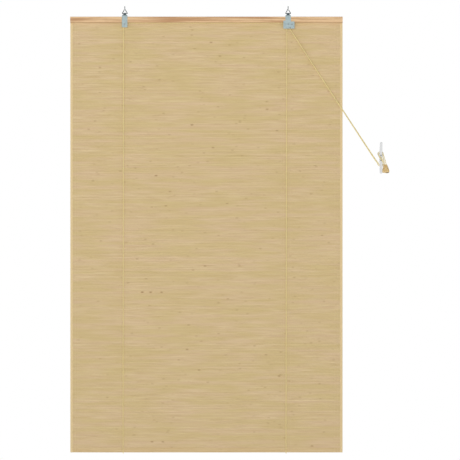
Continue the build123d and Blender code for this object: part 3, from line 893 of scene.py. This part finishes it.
# Screw hooks: plated wire with a rolled thread, bent into a flat-bottomed triangle with its end left open
hookWire = {
    "radius": 1.32,
    "step": 0.7,
    "sides": 14,
    "ends": (0.5, 0.95, 0.85),  # radius at the point of the screw, a step on, and at the open end
    "threadRadius": 0.24,
    "threadPitch": 1.25,
    "threadFrom": 0.9,
    "threadTo": 8.4,
    "threadSteps": 14,
    "threadSides": 5,
    "line": [
        (0, 0, 9.5), (0, 0, 4.5), (0, 0, 0.3), (0.2, 0, -1.9), (1.6, 0, -3.6), (3.4, 0, -6.6),
        (7.6, 0, -14.2), (9.3, 0, -16.9), (9, 0, -17.9), (7.2, 0, -17.95), (0, 0, -17.95),
        (-7.2, 0, -17.95), (-9, 0, -17.9), (-9.3, 0, -16.9), (-7.6, 0, -14.2), (-3.6, 0, -7.4),
        (-1.5, 0, -3.7),
    ],
}


def threadRidge(middle, look):  # the line of the rolled thread, round and up the shank
    count = round((look["threadTo"] - look["threadFrom"]) / look["threadPitch"] * look["threadSteps"])
    ridge = []
    for step in range(count + 1):
        angle = fullTurn * step / look["threadSteps"]
        height = look["threadFrom"] + look["threadPitch"] * step / look["threadSteps"]
        ridge.append((middle + look["radius"] * math.cos(angle), look["radius"] * math.sin(angle), height))
    return ridge


for name, way in (("Left", -1), ("Right", 1)):
    middle = way * strapMiddle
    line = smoothLine("hookLine", [(middle - way * x, y, z) for x, y, z in hookWire["line"]])
    points = evenly(line, hookWire["step"])[0]
    radii = [hookWire["radius"]] * len(points)
    radii[0], radii[1], radii[-1] = hookWire["ends"]
    ridge = tube(threadRidge(middle, hookWire), hookWire["threadRadius"], hookWire["threadSides"])
    shape = joined([tube(points, radii, hookWire["sides"]), ridge])
    addPiece("screwHook" + name, *shape, plated, "wire", ["hook_" + name.lower()])

# Rail staples: flat-topped wire staples driven through both battens
stapleWire = {
    "count": 9,
    "pitch": 112.5,
    "height": -41.0,
    "radius": 0.46,
    "step": 0.8,
    "sides": 8,
    "line": [
        (-5.55, -5.8), (-5.55, 6), (-5.55, 10.9), (-5.5, 11.55), (-4.9, 11.6), (-3, 11.6),
        (3, 11.6), (4.9, 11.6), (5.5, 11.55), (5.55, 10.9), (5.55, 6), (5.55, -5.8),
    ],
}
stapleParts = []
for number in range(stapleWire["count"]):
    middle = (number - (stapleWire["count"] - 1) / 2) * stapleWire["pitch"]
    line = smoothLine("stapleLine", [(middle + x, y, stapleWire["height"]) for x, y in stapleWire["line"]])
    stapleParts.append(tube(evenly(line, stapleWire["step"])[0], stapleWire["radius"], stapleWire["sides"]))
addPiece("railStaples", *joined(stapleParts), plated, "wire", ["rail_staples"])


def buildScrew(x, z, turn, look):  # a spun outline of (radius, height), with a cross recess pressed in
    vertices, faces = [], []
    size = len(look["dome"])
    for side in range(look["sides"]):
        angle = fullTurn * side / look["sides"]
        here, there = side * size, (side + 1) % look["sides"] * size
        for radius, height in look["dome"]:
            across, up = radius * math.cos(angle), radius * math.sin(angle)
            inSlot = min(abs(across), abs(up)) < look["slotHalf"] and radius < look["slotReach"]
            if inSlot and height > look["slotAbove"]:
                height -= look["slotDepth"]
            right = x + (across * math.cos(turn) - up * math.sin(turn))
            high = z + (across * math.sin(turn) + up * math.cos(turn))
            vertices.append((right * mm, (look["seat"] + look["way"] * height) * mm, high * mm))
        for step in range(size - 1):
            faces.append((here + step, there + step, there + step + 1, here + step + 1))
    return vertices, faces


def addScrews(name, look, replaced=()):
    parts = []
    for number, (x, z) in enumerate(look["places"]):
        parts.append(buildScrew(x, z, look["firstTurn"] + look["nextTurn"] * number, look))
    addPiece(name, *joined(parts), riveted, "rivet", replaced)


# Bracket screws: round heads with a cross recess, and their shanks in the back batten
bracketScrew = {
    "places": [(x, z) for x in (-strapMiddle, strapMiddle) for z in (-36, -46)],
    "seat": 12.4,
    "way": 1,  # faces backwards
    "dome": [
        (0, 1.3), (0.3, 1.3), (0.6, 1.29), (0.9, 1.27), (1.2, 1.23), (1.5, 1.16), (1.8, 1.05), (2.1, 0.89),
        (2.4, 0.66), (2.6, 0.4), (2.7, 0.12), (2.7, 0), (1.3, 0), (1.3, -5.6), (0.7, -7.4), (0, -8),
    ],
    "sides": 48,
    "slotHalf": 0.36,
    "slotReach": 1.5,
    "slotAbove": 1.0,
    "slotDepth": 0.75,
    "firstTurn": 0.3,  # how each screw happened to stop, in radians
    "nextTurn": 0.7,
}
addScrews("bracketScrews", bracketScrew, ["bracket_screws"])

# Cleat screws: countersunk heads sunk in the cleat's front, their shanks as deep as its base
cleatScrew = {
    "places": [(641.0, -539.0), (641.0, -557.0)],
    "seat": -4.2,
    "way": -1,  # faces forwards
    "dome": [
        (0, 0), (0.3, 0), (0.6, 0), (0.9, 0), (1.2, 0), (1.5, 0), (1.8, 0), (2.1, 0), (2.5, -0.02),
        (2.8, -0.12), (2.85, -0.35), (1.7, -1.6), (1.7, -20), (0, -20),
    ],
    "sides": 48,
    "slotHalf": 0.38,
    "slotReach": 1.6,
    "slotAbove": -0.01,
    "slotDepth": 0.9,
    "firstTurn": 0.5,
    "nextTurn": 0.9,
}
addScrews("cleatScrews", cleatScrew)

# Plastics: the cleat in moulded white ABS, the pulleys and the cam in moulded nylon
cleatPlastic = {"base": "#e0e0e0", "shade": "#d5d5d5", "roughness": 0.36, "grain": 1.2, "depth": 3e-5}
pulleyPlastic = {"base": "#e9e5da", "shade": "#dcd7c9", "roughness": 0.42, "grain": 0.9, "depth": 2e-5}
mouldSkin = {"cloudScale": 60.0, "detail": 2.0, "bump": 0.3, "refraction": 1.53}


def plasticMaterial(name, look):
    material, tree = newMaterial(name)
    place = placeOn(tree)
    cloud = noise(tree, place, mouldSkin["detail"], mouldSkin["cloudScale"])
    grain = noise(tree, place, mouldSkin["detail"], 1000 / look["grain"])
    colour = blend(tree, cloud, look["base"], look["shade"])
    surface = {"Base Color": colour, "Roughness": look["roughness"], "IOR": mouldSkin["refraction"]}
    surface["Normal"] = bumps(tree, grain, mouldSkin["bump"], look["depth"])
    finishMaterial(tree, surface)
    return material


mouldedAbs = plasticMaterial("mouldedAbs", cleatPlastic)
mouldedNylon = plasticMaterial("mouldedNylon", pulleyPlastic)
for name in ("pulley_left", "pulley_lock", "lock_cam"):
    dress(name, mouldedNylon)

# Cleat: the moulding's edges rounded all over, its horns a little fuller towards their tips
cleatShape = {
    "grain": 0.00042,  # metres of one cell of the even mesh that the rounding works on
    "rounding": 9,
    "lighter": 0.35,  # share of the faces that is kept
    "foot": 16.0,  # millimetres from the middle to where a horn begins, and to its tip
    "tip": 57.5,
    "fuller": 0.4,
    "lean": 1.0,  # millimetres that the upper tip leans to the right
}
copied = nodes["cleat"].data.copy()
copied.materials.clear()
cleat = bpy.data.objects.new("hornCleat", copied)
scene.collection.objects.link(cleat)
even = cleat.modifiers.new("even", "REMESH")
even.mode = "VOXEL"
even.voxel_size = cleatShape["grain"]
soften = cleat.modifiers.new("soften", "SMOOTH")
soften.iterations = cleatShape["rounding"]
thin = cleat.modifiers.new("thin", "DECIMATE")
thin.ratio = cleatShape["lighter"]
bpy.context.view_layer.update()
shaped = bpy.data.meshes.new_from_object(cleat.evaluated_get(bpy.context.evaluated_depsgraph_get()))
cleat.modifiers.clear()
cleat.data = shaped
for vertex in shaped.vertices:
    x, z = vertex.co.x / mm - cleatMiddle.x, vertex.co.z / mm - cleatMiddle.z
    share = max(0, (abs(z) - cleatShape["foot"]) / (cleatShape["tip"] - cleatShape["foot"]))
    x *= 1 + cleatShape["fuller"] * share
    x += cleatShape["lean"] * share**2 * (1 if z > 0 else 0)
    vertex.co.x = (x + cleatMiddle.x) * mm
shaped.materials.append(mouldedAbs)
shaped.polygons.foreach_set("use_smooth", [True] * len(shaped.polygons))
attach(cleat, "blind")
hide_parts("cleat")
print("metal, plastic and cleat")
